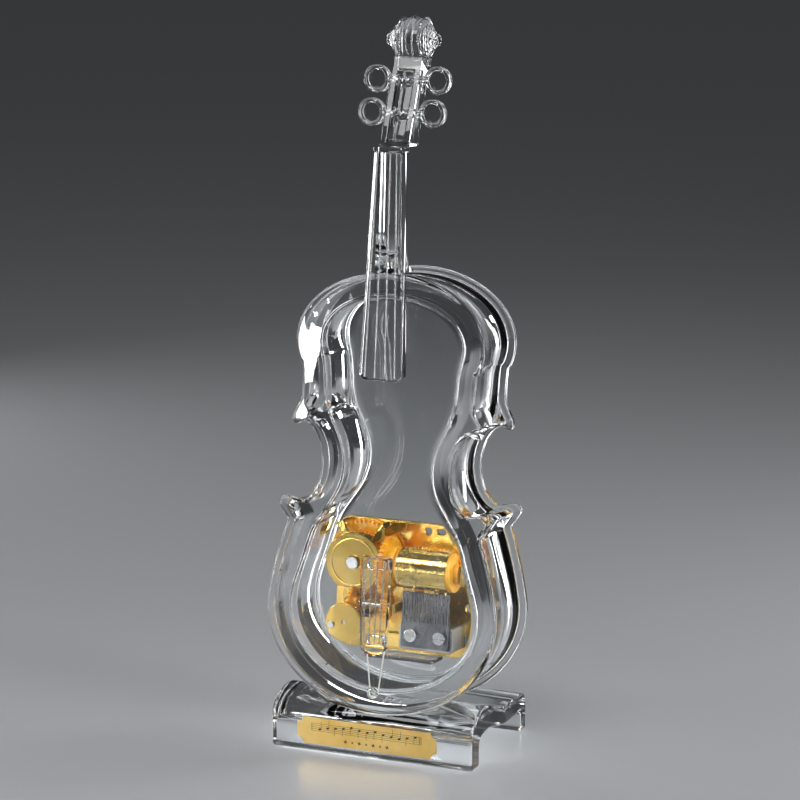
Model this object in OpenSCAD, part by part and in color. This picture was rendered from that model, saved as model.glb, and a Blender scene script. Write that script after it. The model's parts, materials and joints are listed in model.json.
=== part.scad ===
// Violin-shaped clear music box on a bent stand, with a wind-up movement inside.
// All sizes are in millimetres. The row frame stands on the floor, front towards -Y.
// The violin is drawn upright in its own frame (front plate face at y = 0, bottom
// edge at z = 0) and is then leaned back and set into the stand.

/* [Stand] */
// Width of the stand
stand_w = 69.5; // [57.5:0.5:84]
// Depth of the stand, front to back
stand_d = 48.4; // [44:0.2:56]
// Height of the rounded front ridge
ridge_h = 18.2; // [17:0.1:22]
// Height of the flat rear deck
deck_h = 12.8; // [11.5:0.1:15]
// Thickness of the front wall
front_wall = 7; // [5.5:0.5:8]
// Thickness of the deck and the rear wall
sheet_t = 5; // [4:0.2:6]
// Length of the label plate
label_w = 48; // [38:0.5:54]
// Height of the label plate
label_h = 8.8; // [7:0.2:10.5]

/* [Violin body] */
// Length of the body from the bottom edge to the neck
body_l = 142; // [125:1:171]
// Half width of the lower bout
lower_half = 39.5; // [37.5:0.5:46]
// Half width of the waist
waist_half = 21.9; // [20:0.5:25]
// Half width of the upper bout
upper_half = 32; // [28:0.5:37]
// Depth of the body, front plate to back plate
body_d = 30.5; // [30:0.1:37]
// Thickness of the front and back plates
plate_t = 3; // [2.4:0.2:3.6]
// How far the plate edges stand out past the ribs
overhang = 2.2; // [1.4:0.2:3]
// Thickness of the rib wall
rib_t = 4.2; // [3.5:0.1:5.1]
// Backward lean in degrees
lean = 5.2; // [0:0.2:7]
// Height of the body's bottom edge above the floor
seat_h = 13.3; // [12.5:0.1:14.5]
// Distance of the body's front edge behind the stand's front face
set_back = 4; // [2:0.2:6]

/* [Neck and head] */
// Length of the neck from the body to the nut
neck_l = 39.5; // [33:0.5:47]
// Width of the fingerboard at the nut
board_w0 = 9.2; // [8:0.2:10.5]
// Width of the fingerboard at its free end
board_w1 = 14.6; // [12.5:0.2:17]
// Thickness of the fingerboard
board_t = 4; // [3.2:0.2:4.8]
// Height of the fingerboard face in front of the plate
board_up = 6; // [5:0.2:7]
// Length of the pegbox
pegbox_l = 27; // [24:0.5:30]
// Diameter of the scroll
scroll_d = 14; // [12:0.5:16]
// Diameter of the flat peg heads
peg_d = 8.8; // [7.4:0.2:9.6]

/* [Music movement] */
// Length of the bedplate
plate_w = 50; // [48:0.5:52]
// Width of the bedplate
plate_h = 43; // [41:0.5:44]
// Thickness of the bedplate
bed_t = 1.6; // [1.2:0.1:2]
// Diameter of the tune cylinder
cyl_d = 13; // [10.8:0.1:13.6]
// Length of the tune cylinder
cyl_l = 17; // [15.5:0.5:17.5]
// Number of comb teeth
comb_n = 18; // [12:1:24]
// Diameter of the spring housing
drum_d = 19.6; // [17:0.1:19.7]
// Module shared by every gear of the train
gear_m = 0.5; // [0.49:0.005:0.51]
// Width of the winding key across its wings
key_w = 21; // [17:0.5:25]

/* [Hidden] */
$fn = 48;
fit = 0.05;                       // radial running clearance
// tooth counts and the train's centre distances
n_drum = 48; n_cyl = 36; n_pin = 16; n_worm_wheel = 16;
r_drum = gear_m*n_drum/2; r_cyl = gear_m*n_cyl/2; r_pin = gear_m*n_pin/2;
// movement frame: x along the cylinder, y away from the bedplate top, z up the violin
axis_h = r_cyl + 2.5;             // cylinder axis above the bedplate
axle_z = 46.6;                    // cylinder axis and spring housing, up the violin
drum_x = -14;
gear_x = drum_x + r_drum;         // plane of the cylinder's gear
cyl_x0 = gear_x + 4.8;
pin_out = 0.8;
pin_z = axle_z - r_cyl - r_pin;   // governor pinion axle
worm_r = 1.5; worm_e = 0.45;      // twisted off-centre thread
worm_z = pin_z - r_pin - 0.4 - worm_r + 0.15;
worm_x = drum_x - 0.6;
cap_r = 6.2;
bed_z0 = 16.4; bed_z1 = bed_z0 + plate_h;
bed_x0 = -plate_w/2; bed_x1 = plate_w/2;
post_h = 1.5;                     // bosses that carry the bedplate
bed_y = body_d - plate_t - post_h - bed_t;   // bedplate top face, in violin depth
wing_t = 1.6; key_gap = 4; key_len = key_gap + 9; arbor_out = 5.5;
screw_pts = [[-20.5, bed_z0 + 5.9], [20.5, bed_z0 + 5.9], [17, bed_z1 - 3.6]];
// overall depth: the key's wings reach furthest back
key_y = set_back + (body_d + key_len)*cos(lean) + (axle_z + wing_t/2)*sin(lean);
all_d = max(stand_d, key_y);
shift_y = -all_d/2;

// violin outline, right half, bottom to top, drawn k inside the plate edge
low_z = 33; waist_z = 79.7; up_z = 119; body_l0 = 142;
function arc(cx, cz, rx, rz, a0, a1, n) =
  [for (i = [0:n]) let (a = a0 + (a1 - a0)*i/n) [cx + rx*cos(a), cz + rz*sin(a)]];
// corner tips: [share of the bout's half width, height, inset across, inset along]
low_tip = [[0.876, 62.3, 1.1, 0], [0.916, 64.9, 1.15, -0.1], [0.911, 66.7, 1.15, -0.6],
           [0.871, 68, 1.15, -0.8], [0.797, 67.4, 1.15, -0.6]];
up_tip = [[0.956, 91.6, 1.15, 0.9], [1.006, 91.8, 1.15, 0.7], [1.016, 93.6, 1.15, 0.4],
          [0.988, 96, 1.1, 0], [0.944, 98.6, 1, 0], [0.919, 101.5, 1, 0]];
function tip(list, half_w, k, L) =
  [for (p = list) [half_w*p[0] - k*p[2], (p[1] + k*p[3])*L]];
function half(k) = let (L = body_l/body_l0, cx = lower_half*0.745) concat(
  arc(0, low_z*L, lower_half - k, low_z*L - k, -90, 10, 26),
  [for (t = [0:0.2:1]) [lower_half*(0.968 - 0.128*pow(t, 1.15)) - k, (42 + 18.3*t - 0.2*k*t)*L]],
  tip(low_tip, lower_half, k, L),
  arc(cx - k*0.2, waist_z*L, cx - waist_half + k*0.8, 12.9*L + k*0.6, 262, 98, 18),
  tip(up_tip, upper_half, k, L),
  arc(0, up_z*L, upper_half - k, body_l - up_z*L - k, -22, 90, 22));
// the cavity skips the corner tips, so its wall is thickest there
function cavity_half(w) = let (L = body_l/body_l0, cx = lower_half*0.745) concat(
  arc(0, low_z*L, lower_half - w, low_z*L - w, -90, 20, 26),
  [[lower_half - w - 4.4, 49*L], [lower_half - w - 5.6, 53*L], [lower_half - w - 7.2, 58.6*L]],
  arc(cx, waist_z*L, cx - waist_half + w, 17*L, 226, 134, 14),
  [[upper_half - w - 2.8, 100*L]],
  arc(0, up_z*L, upper_half - w, body_l - up_z*L - w, -24, 90, 20));
module mirrored(h) polygon(concat(h, [for (i = [len(h) - 2:-1:1]) [-h[i][0], h[i][1]]]));
module outline(k = 0) mirrored(half(k));
// violin frame helpers: slab between two depths, and a rod along the depth
module slab(y0, y1) translate([0, y1, 0]) rotate([90, 0, 0]) linear_extrude(y1 - y0) children();
module rod(x, z, y0, y1, r) translate([x, y1, z]) rotate([90, 0, 0]) cylinder(r = r, h = y1 - y0);
module tube(x, z, y0, y1, r, ri) difference() {
  rod(x, z, y0, y1, r);
  rod(x, z, y0 - 1, y1 + 1, ri);
}
module axle(x0, x1, y, z, r) translate([x0, y, z]) rotate([0, 90, 0]) cylinder(r = r, h = x1 - x0);
// puts the violin frame into the row frame
module seat() translate([0, shift_y + set_back, seat_h]) rotate([-lean, 0, 0]) children();

// ---------- stand ----------
ridge_y = 12; fall_y = 31; ridge_in = 9.8;
function deck_in() = deck_h - sheet_t - 0.8;
module stand_profile() polygon(concat(
  [[0, 0], [0, 1.2]],
  arc(ridge_y, ridge_h - 7.2, ridge_y, 7.2, 180, 90, 12),
  [for (i = [1:12]) let (t = i/12)
    [ridge_y + (fall_y - ridge_y)*t, deck_h + (ridge_h - deck_h)*(0.5 + 0.5*cos(180*t))]],
  arc(stand_d - 3, deck_h - 3, 3, 3, 90, 0, 6),
  [[stand_d, 0], [stand_d - sheet_t, 0]],
  arc(stand_d - sheet_t - 1.5, deck_in() - 1.5, 1.5, 1.5, 0, 90, 5),
  [for (i = [0:10]) let (t = i/10)
    [fall_y + (ridge_y + 1.5 - fall_y)*t, deck_in() + (ridge_in - deck_in())*(0.5 - 0.5*cos(180*t))]],
  arc(front_wall + 3, ridge_in - 3.2, 3, 2.8, 100, 180, 8),
  [[front_wall, 0]]));
module violin_block(gap) seat() slab(-gap, body_d + gap + 10) outline(-gap);
module stand() color([0.93, 0.95, 0.97, 0.3]) difference() {
  translate([-stand_w/2, shift_y, 0]) rotate([90, 0, 90]) linear_extrude(stand_w) stand_profile();
  violin_block(0.02);
}
label_x = -1.25;                  // the plate sits a little left of centre
label_z0 = 2.8; label_t = 0.5; notch_r = 2;
module label_shape() difference() {
  square([label_w, label_h], center = true);
  for (a = [-1, 1], b = [-1, 1]) translate([a*label_w/2, b*label_h/2]) circle(r = notch_r);
}
module label_plate() color([0.85, 0.7, 0.35])
  translate([label_x, shift_y, label_h/2 + label_z0]) rotate([90, 0, 0])
    linear_extrude(label_t) label_shape();

// ---------- clear case ----------
module cavity() mirrored(cavity_half(overhang + rib_t));
split_y = body_d*0.45;
module front_shell() color([0.93, 0.95, 0.97, 0.3]) seat() difference() {
  union() {
    slab(0, plate_t) outline();
    slab(plate_t - 0.5, split_y) outline(overhang);
  }
  slab(plate_t, split_y + 1) cavity();
}
module back_shell() color([0.93, 0.95, 0.97, 0.3]) seat() difference() {
  union() {
    slab(body_d - plate_t, body_d) outline();
    difference() {
      slab(split_y, body_d - plate_t + 0.5) outline(overhang);
      slab(split_y - 1, body_d - plate_t) cavity();
    }
    for (p = screw_pts) rod(p[0], p[1], body_d - plate_t - post_h, body_d - plate_t + 1, 3);
    slab(body_d - plate_t - 9, body_d - plate_t + 1) translate([-12, 14.6]) square([24, 1.4]);
  }
  for (p = screw_pts) rod(p[0], p[1], 0, body_d + 1, 1.3 + fit);
  rod(drum_x, axle_z, 0, body_d + 1, 4.2);
  // room for the main wheel where the ribs come close to it
  rod(drum_x, axle_z, bed_y - 5, bed_y, r_drum + 1);
}

// ---------- neck, head and strings ----------
nut_z = body_l + neck_l;
board_y = -board_up;
module board_shape(z0, z1, w0, w1) polygon([[-w1/2, z0 + 1.5], [-w1/2 + 1.5, z0], [w1/2 - 1.5, z0],
  [w1/2, z0 + 1.5], [w0/2, z1], [-w0/2, z1]]);
board_z0 = nut_z - 73;
module fingerboard() color([0.93, 0.95, 0.97, 0.3]) seat()
  slab(board_y, board_y + board_t) board_shape(board_z0, nut_z - 1.6, board_w0, board_w1);
module nut() color([0.95, 0.96, 0.97, 0.35]) seat()
  translate([-board_w0/2 - 0.2, board_y - 0.8, nut_z - 1.6]) cube([board_w0 + 0.4, 8, 1.6]);
heel_z0 = body_l - 8; neck_w = 8;
module neck() color([0.93, 0.95, 0.97, 0.3]) seat() {
  // neck shaft behind the fingerboard, then the heel block on the body
  side_shape(neck_w) polygon(concat(
    [[board_y + board_t, heel_z0], [0, heel_z0], [0, body_l], [17, body_l]],
    [for (i = [0:8]) let (a = 90*i/8) [17 - 10*sin(a), body_l + 1 + 11*(1 - cos(a))]],
    [[5.2, nut_z - 1.6], [board_y + board_t, nut_z - 1.6]]));
}
head_w = 10; head_lean = 0.34;    // the head bends back by this slope
slot_w = 5.2; peg_r = 1.1; peg_reach = 6.4; head_t = 3;
scroll_z = nut_z + pegbox_l + scroll_d*0.47;
function head_y(z) = -1.2 + head_lean*(z - nut_z);    // front face of the pegbox
scroll_y = head_y(nut_z + pegbox_l) + 4.4;
function peg_y(z) = head_y(z) + 2.5;
module side_shape(w) translate([-w/2, 0, 0]) rotate([90, 0, 90]) linear_extrude(w) children();
module pegbox() color([0.93, 0.95, 0.97, 0.3]) seat() {
  z0 = nut_z + 1.5; z1 = nut_z + pegbox_l - 3.5;
  top = nut_z + pegbox_l + 1.5;
  difference() {
    side_shape(head_w) polygon([[head_y(nut_z), nut_z], [head_y(top), top],
      [head_y(top) + 7.6, top], [7, nut_z]]);
    // slot for the peg shafts, open to the front
    side_shape(slot_w) polygon([[head_y(z0) - 2, z0], [head_y(z1) - 2, z1],
      [head_y(z1) + 4.6, z1], [head_y(z0) + 4.6, z0]]);
    for (p = pegs()) axle(-head_w, head_w, peg_y(p[1]), p[1], peg_r + fit);
    axle(-head_w, head_w, scroll_y, scroll_z, scroll_d/2 + fit/2);
  }
}
// one step of the scroll on both sides, from x0 out to x1
module scroll_step(x0, x1, r) for (s = [-1, 1])
  axle(min(s*x0, s*x1), max(s*x0, s*x1), scroll_y, scroll_z, r);
module scroll() color([0.93, 0.95, 0.97, 0.3]) seat() {
  rs = scroll_d/2;
  axle(-3.6, 3.6, scroll_y, scroll_z, rs);
  scroll_step(3.5, 5.2, rs*0.86);
  scroll_step(5.1, 6.8, rs*0.62);
  scroll_step(6.7, 8.4, rs*0.36);
}
function pegs() = [[-1, nut_z + pegbox_l*0.755], [1, nut_z + pegbox_l*0.765],
                   [-1, nut_z + pegbox_l*0.375], [1, nut_z + pegbox_l*0.39]];
module peg(i) color([0.93, 0.95, 0.97, 0.3]) seat() {
  s = pegs()[i][0]; z = pegs()[i][1];
  axle(min(s*0.3, s*peg_reach), max(s*0.3, s*peg_reach), peg_y(z), z, peg_r);
  rod(s*(peg_reach + peg_d/2 - 0.6), z, peg_y(z) - head_t/2, peg_y(z) + head_t/2, peg_d/2);
}
module peg_upper_left() peg(0);
module peg_upper_right() peg(1);
module peg_lower_left() peg(2);
module peg_lower_right() peg(3);
str_r = 0.22;
function string_x(i, z) = let (t = (z - board_z0)/(nut_z - board_z0))
  (i - 1.5)*((board_w1 - 4.4)*(1 - t) + (board_w0 - 3)*t)/3;
// a straight wire between two points of one string
module wire(x0, z0, x1, z1, y) translate([x0, y, z0])
  rotate([0, atan2(x1 - x0, z1 - z0), 0]) cylinder(r = str_r, h = norm([x1 - x0, z1 - z0]), $fn = 16);
module board_string(i) color([0.88, 0.88, 0.86]) seat()
  wire(string_x(i, board_z0 + 1), board_z0 + 1, string_x(i, nut_z - 1.7), nut_z - 1.7, board_y - str_r);
module board_string_1() board_string(0);
module board_string_2() board_string(1);
module board_string_3() board_string(2);
module board_string_4() board_string(3);
tail_z0 = 20.5; tail_z1 = 52; button_z = 8;
module tailpiece() color([0.93, 0.95, 0.97, 0.3]) seat() {
  slab(-5, -2) polygon(concat([[-5.2, tail_z1], [5.2, tail_z1]],
    arc(0, tail_z0 + 3, 4.2, 3, 0, -180, 12)));
  translate([-3.2, -2, tail_z1 - 4]) cube([6.4, 2, 3]);
  translate([-2.6, -2, tail_z0 + 3]) cube([5.2, 2, 3]);
}
module tail_string(i) color([0.88, 0.88, 0.86]) seat()
  wire((i - 1.5)*1.7, tail_z0 + 4, (i - 1.5)*2.3, tail_z1 - 1, -5 - str_r);
module tail_string_1() tail_string(0);
module tail_string_2() tail_string(1);
module tail_string_3() tail_string(2);
module tail_string_4() tail_string(3);
// looped cord from the tailpiece down to the end button
module tail_loop() color([0.9, 0.88, 0.82]) seat() {
  wire(-3, tail_z0 + 1.2, -1.35, button_z, -1.7);
  wire(3, tail_z0 + 1.2, 1.35, button_z, -1.7);
  translate([0, -1.7, button_z]) rotate([90, 0, 0]) rotate_extrude(angle = 360)
    translate([1.35, 0]) circle(r = str_r, $fn = 16);
}
module end_button() color([0.93, 0.95, 0.97, 0.3]) seat() {
  rod(0, button_z, -2.7, 0, 1);
  rod(0, button_z, -3.4, -2.6, 2);
}

// ---------- movement, fixed parts ----------
// gives the violin depth of a height above the bedplate
function up(h) = bed_y - h;
module mrod(x, z, h0, h1, r) rod(x, z, up(h1), up(h0), r);
module mtube(x, z, h0, h1, r, ri) tube(x, z, up(h1), up(h0), r, ri);
module mslab(h0, h1) slab(up(h1), up(h0)) children();
module round_rect(x0, z0, x1, z1, r) translate([x0 + r, z0 + r]) {
  w = x1 - x0 - 2*r; h = z1 - z0 - 2*r;
  translate([-r, 0]) square([w + 2*r, h]);
  translate([0, -r]) square([w, h + 2*r]);
  for (p = [[0, 0], [w, 0], [0, h], [w, h]]) translate(p) circle(r = r);
}
brass = [0.86, 0.68, 0.3]; steel = [0.55, 0.56, 0.58]; amber = [0.9, 0.5, 0.1]; zinc = [0.6, 0.6, 0.6];
leg_a = [55, 125, -112];
leg_r = r_drum + 1.3;
drum_h0 = 3.6; drum_h1 = 12.6;
// the housing's flat keeps clear of the governor wheel below it
flat_z = min(drum_d/2 - 1.1, axle_z - pin_z - gear_m*(n_worm_wheel/2 + 0.85) - 0.3);
comb_z1 = axle_z - cyl_d/2 - pin_out - 0.12;   // comb tips
comb_z0 = 21; comb_w = cyl_l - 0.6; comb_cx = cyl_x0 + cyl_l/2;
comb_screw = [[comb_cx - 4.6, 25], [comb_cx + 5.2, 25]];
post_x = cyl_x0 + cyl_l + 3.6;    // right bearing
lug_x = gear_x - 1.6;             // left bearing, between housing and gear
lug_z = axle_z + sqrt(pow(r_drum + 1.2, 2) - pow(lug_x - drum_x, 2)) + 1;
slot_x = [10.4, 11.8]; slot_z = bed_z1 - 2.4; slot_r = 0.9;
module bedplate() color(brass) seat() difference() {
  mslab(-bed_t, 0) round_rect(bed_x0, bed_z0, bed_x1, bed_z1, 5);
  for (p = screw_pts) mrod(p[0], p[1], -bed_t - 1, 1, 1.3 + fit);
  mrod(drum_x, axle_z, -bed_t - 1, 1, 2 + fit);
  mrod(6.5, bed_z1 - 2.6, -bed_t - 1, 1, 1.2);
  for (x = slot_x) mrod(x, slot_z, -bed_t - 1, 1, slot_r);
  translate([slot_x[0], up(1), slot_z - slot_r]) cube([slot_x[1] - slot_x[0], bed_t + 2, 2*slot_r]);
  mrod(22, 33, -bed_t - 1, 1, 1.5);
}
module drum_outline(r, cut) difference() {
  translate([drum_x, axle_z]) circle(r = r);
  translate([drum_x - 15, axle_z - cut - 15]) square([30, 15]);
}
module spring_housing() color(brass) seat() {
  difference() {
    mslab(drum_h0, drum_h1) drum_outline(drum_d/2, flat_z);
    mslab(drum_h0 - 1, drum_h1 - 1) drum_outline(drum_d/2 - 0.7, flat_z - 0.7);
    mrod(drum_x, axle_z, 0, 20, 2 + fit);
  }
  // legs that step over the main wheel and stand on the bedplate
  for (a = leg_a) translate([drum_x, 0, axle_z]) rotate([0, -a, 0]) {
    translate([drum_d/2 - 0.35, up(6.2), -1.3]) cube([leg_r - drum_d/2 + 1.25, 1, 2.6]);
    translate([leg_r - 0.1, up(6.2), -1.3]) cube([1, 6.2, 2.6]);
  }
}
spiral_n = 5; spiral_r0 = 2.75; spiral_r1 = drum_d/2 - 2.2;
function spiral(off) = [for (i = [0:spiral_n*20]) let (t = i/(spiral_n*20), a = 360*spiral_n*t,
  r = spiral_r0 + (spiral_r1 - spiral_r0)*t + off) [r*cos(a), r*sin(a)]];
module mainspring() color(steel) seat() translate([drum_x, 0, axle_z]) {
  s = spiral(0.2); u = spiral(-0.15);
  slab(up(drum_h1 - 1.4), up(drum_h0 + 0.6))
    polygon(concat(s, [for (i = [len(u) - 1:-1:0]) u[i]]));
}
module left_bearing() color(brass) seat() difference() {
  union() {
    translate([lug_x - 0.5, up(axis_h + 2), axle_z - 2]) cube([1, 4, lug_z + 3.2 - axle_z + 2]);
    translate([lug_x - 0.5, up(axis_h), lug_z]) cube([1, axis_h, 3.2]);
    translate([lug_x - 0.5, up(1), lug_z]) cube([3.4, 1, 3.2]);
  }
  axle(lug_x - 1, lug_x + 1, up(axis_h), axle_z, 0.8 + fit);
}
module right_bearing() color(brass) seat() difference() {
  union() {
    translate([post_x, up(axis_h + 2.4), axle_z - 3]) cube([1.6, axis_h + 2.4, 6]);
    translate([post_x - 2.4, up(1.2), axle_z - 6]) cube([4, 1.2, 12]);
  }
  axle(post_x - 1, post_x + 2, up(axis_h), axle_z, 0.8 + fit);
}
comb_pitch = comb_w/comb_n;
module comb() color(steel) seat() difference() {
  union() {
    mslab(axis_h - 0.5, axis_h + 0.5) translate([comb_cx - comb_w/2, comb_z0]) square([comb_w, 8.4]);
    for (i = [0:comb_n - 1]) let (cut = 9.2 - 4.6*i/(comb_n - 1)) {
      mslab(axis_h - 0.28, axis_h + 0.28)
        translate([comb_cx - comb_w/2 + (i + 0.14)*comb_pitch, comb_z0 + 8])
          square([comb_pitch*0.72, comb_z1 - comb_z0 - 8]);
      mslab(axis_h - 0.5, axis_h + 0.5)
        translate([comb_cx - comb_w/2 + (i + 0.14)*comb_pitch, comb_z0 + 8])
          square([comb_pitch*0.72, 9.6 - cut]);
    }
  }
  for (p = comb_screw) mrod(p[0], p[1], 0, 20, 0.9 + fit);
}
module comb_base() color(zinc) seat() difference() {
  reach = comb_w/2 + 1;
  mslab(0, axis_h - 0.5)
    round_rect(comb_cx - reach, comb_z0 - 1, comb_cx + reach, comb_z0 + 7, 1);
  for (p = comb_screw) mrod(p[0], p[1], 2, 20, 0.9 + fit);
}
module comb_screw_at(i) color(steel) seat() difference() {
  union() {
    mrod(comb_screw[i][0], comb_screw[i][1], 3, axis_h + 0.6, 0.9);
    mrod(comb_screw[i][0], comb_screw[i][1], axis_h + 0.5, axis_h + 1.7, 2.1);
  }
  translate([comb_screw[i][0] - 3, up(axis_h + 2.5), comb_screw[i][1] - 0.3]) cube([6, 1.4, 0.6]);
}
module comb_screw_left() comb_screw_at(0);
module comb_screw_right() comb_screw_at(1);
cap_h = axis_h + r_pin + 1.1;
gov_x = worm_x - 5.4;
module governor_frame() color(brass) seat() difference() {
  union() {
    mrod(worm_x, worm_z, 0, 0.8, 3.1);
    mslab(0, 0.8) translate([gov_x, worm_z - 1.5]) square([worm_x - gov_x, 3]);
    translate([gov_x - 1, up(cap_h), worm_z - 3]) cube([2, cap_h, 3.4]);
    mslab(cap_h - 0.8, cap_h) translate([gov_x - 1, worm_z - 3]) square([3.4, 3.4]);
  }
  mrod(worm_x, worm_z, -1, 20, 0.5 + fit);
  mrod(gov_x + 1.2, worm_z - 1.3, cap_h - 3, 20, 0.55);
}
module governor_cap() color(brass) seat() difference() {
  mrod(worm_x, worm_z, cap_h, cap_h + 1.2, cap_r);
  mrod(worm_x, worm_z, 0, 30, 0.5 + fit);
  mrod(gov_x + 1.2, worm_z - 1.3, 0, 30, 0.5 + fit);
}
module governor_screw() color(steel) seat() {
  mrod(gov_x + 1.2, worm_z - 1.3, cap_h - 2, cap_h + 1.3, 0.5);
  mrod(gov_x + 1.2, worm_z - 1.3, cap_h + 1.2, cap_h + 1.9, 1.1);
}
// posts that carry the governor wheel's axle
wheel_x0 = worm_x - 2.2; wheel_x1 = gear_x + 2.2;
module wheel_post(x) color(brass) seat() difference() {
  translate([x, up(axis_h + 1.6), pin_z - 2.1]) cube([1, axis_h + 1.6, 3]);
  mrod(drum_x, axle_z, 0.1, 3.6, r_drum + 0.9);
  axle(x - 1, x + 2, up(axis_h), pin_z, 0.6 + fit);
}
module wheel_post_left() wheel_post(wheel_x0);
module wheel_post_right() wheel_post(wheel_x1);
module case_screw(i) color(steel) seat() {
  p = screw_pts[i];
  rod(p[0], p[1], bed_y + 0.2, body_d + 0.1, 1.3);
  difference() {
    rod(p[0], p[1], body_d, body_d + 1.4, 2.5);
    translate([p[0] - 3, body_d + 0.7, p[1] - 0.35]) cube([6, 1, 0.7]);
  }
}
module case_screw_left() case_screw(0);
module case_screw_right() case_screw(1);
module case_screw_top() case_screw(2);

// ---------- movement, turning parts ----------
// thin straight-sided tooth pointing along +x of a wheel drawn about its own axis
module tooth(r0, r1, w0, w1) polygon([[r0, -w0/2], [r1, -w1/2], [r1, w1/2], [r0, w0/2]]);
module wheel_2d(n, bore) difference() {
  union() {
    circle(r = gear_m*(n/2 - 1.15));
    for (i = [0:n - 1]) rotate(360*i/n)
      tooth(gear_m*(n/2 - 1.3), gear_m*(n/2 + 0.85), gear_m*1.15, gear_m*0.6);
  }
  circle(r = bore);
}
// wheel whose axis runs along x; turn sets the tooth phase
module wheel_x(x, z, n, t, bore, turn) translate([x - t/2, up(axis_h), z])
  rotate([0, 90, 0]) rotate(turn) linear_extrude(t) wheel_2d(n, bore);
module arbor() color(steel) seat() {
  mrod(drum_x, axle_z, -bed_t - post_h - plate_t - arbor_out, drum_h1 + 1.2, 2);
}
module winding_key() color(brass) seat() difference() {
  union() {
    rod(drum_x, axle_z, body_d + 0.6, body_d + arbor_out + 1.2, 3.4);
    translate([drum_x - key_w/2 + 4, body_d + key_gap, axle_z - wing_t/2])
      cube([key_w - 8, 5.4, wing_t]);
    for (s = [-1, 1]) translate([drum_x + s*(key_w/2 - 4.5), body_d + key_len - 4.5, axle_z - wing_t/2])
      cylinder(r = 4.5, h = wing_t);
  }
  for (s = [-1, 1]) translate([drum_x + s*(key_w/2 - 4.5), body_d + key_len - 4.5, axle_z - wing_t])
    cylinder(r = 1.8, h = 2*wing_t);
  rod(drum_x, axle_z, 0, body_d + arbor_out, 2);
}
module main_wheel() color(amber) seat() {
  difference() {
    union() {
      mrod(drum_x, axle_z, 0.4, 1.9, r_drum + 0.6);
      mrod(drum_x, axle_z, 1.8, 3.2, 3.4);
      translate([drum_x, up(0), axle_z]) rotate([90, 0, 0]) for (i = [0:n_drum - 1])
        rotate(360*(i + 0.5)/n_drum) translate([r_drum - 0.6, -gear_m*0.45, 1.8])
          cube([1.2, gear_m*0.9, 1.15]);
    }
    mrod(drum_x, axle_z, -1, 10, 2 + fit);
  }
}
cyl_r = cyl_d/2;
module cylinder_sleeve() color([0.9, 0.76, 0.35]) seat()
  translate([0, up(axis_h), axle_z]) rotate([0, 90, 0]) difference() {
    translate([0, 0, cyl_x0]) cylinder(r = cyl_r, h = cyl_l, $fn = 72);
    translate([0, 0, cyl_x0 - 1]) cylinder(r = cyl_r - 0.8, h = cyl_l + 2, $fn = 72);
  }
// pins sit in one ring per comb tooth, at angles set by a simple stepping rule
function pin_a(i, k) = (i*67 + k*73 + k*i*3)%360;
module tune_pins() color([0.93, 0.82, 0.5]) seat() translate([0, up(axis_h), axle_z]) rotate([0, 90, 0])
  for (i = [0:comb_n - 1], k = [0:4]) rotate([0, 0, pin_a(i, k)])
    translate([cyl_r - 0.5, 0, comb_cx - comb_w/2 + (i + 0.5)*comb_pitch]) rotate([0, 90, 0])
      cylinder(r = 0.17, h = 0.5 + pin_out, $fn = 13);
module cylinder_gear() color(amber) seat() {
  wheel_x(gear_x, axle_z, n_cyl, 1.6, 0.8 + fit, 0);
  // stepped hub that fills the end of the sleeve
  difference() {
    union() {
      axle(gear_x + 0.7, cyl_x0 - 1.2, up(axis_h), axle_z, 6.4);
      axle(gear_x + 0.7, cyl_x0, up(axis_h), axle_z, 5);
      axle(gear_x + 0.7, cyl_x0 + 2, up(axis_h), axle_z, cyl_r - 0.8);
    }
    axle(gear_x - 2, cyl_x0 + 3, up(axis_h), axle_z, 0.8 + fit);
  }
}
module cylinder_cap() color(amber) seat() difference() {
  union() {
    axle(cyl_x0 + cyl_l - 2, cyl_x0 + cyl_l + 0.4, up(axis_h), axle_z, cyl_r - 0.8);
    axle(cyl_x0 + cyl_l, cyl_x0 + cyl_l + 1.4, up(axis_h), axle_z, 6.2);
    axle(cyl_x0 + cyl_l + 1.3, cyl_x0 + cyl_l + 3, up(axis_h), axle_z, 3.4);
  }
  axle(cyl_x0 + cyl_l - 3, cyl_x0 + cyl_l + 4, up(axis_h), axle_z, 0.8 + fit);
}
module cylinder_axle() color(steel) seat() axle(lug_x - 0.45, post_x + 2, up(axis_h), axle_z, 0.8);
module governor_pinion() color(amber) seat()
  wheel_x(gear_x, pin_z, n_pin, 1.6, 0.6 + fit, 360/n_pin/2);
module governor_wheel() color(amber) seat() {
  wheel_x(worm_x, pin_z, n_worm_wheel, 1, 0.6 + fit, 360/n_pin/2);
  difference() {
    axle(worm_x + 0.4, worm_x + 2.2, up(axis_h), pin_z, 1.6);
    axle(worm_x, worm_x + 3, up(axis_h), pin_z, 0.6 + fit);
  }
}
module governor_axle() color(steel) seat() axle(wheel_x0 + 0.1, wheel_x1 + 0.9, up(axis_h), pin_z, 0.6);
worm_len = 5.4;
module worm_shaft() color(steel) seat() {
  translate([worm_x, up(axis_h) + worm_len/2, worm_z]) rotate([90, 0, 0])
    linear_extrude(worm_len, twist = -360*worm_len/(PI*gear_m), slices = 42)
      rotate(90 - 180*worm_len/(PI*gear_m)) translate([worm_e, 0]) circle(r = worm_r, $fn = 14);
  mrod(worm_x, worm_z, 0.1, cap_h + 0.9, 0.5);
}
module fly() color(steel) seat() difference() {
  union() {
    mrod(worm_x, worm_z, 1.4, 4.4, 1.3);
    mslab(1.8, 4) for (a = [0, 180]) translate([worm_x, worm_z]) rotate(a)
      translate([0.8, -0.35]) square([2.8, 0.7]);
  }
  mrod(worm_x, worm_z, 0, 6, 0.5 + fit);
}

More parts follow.
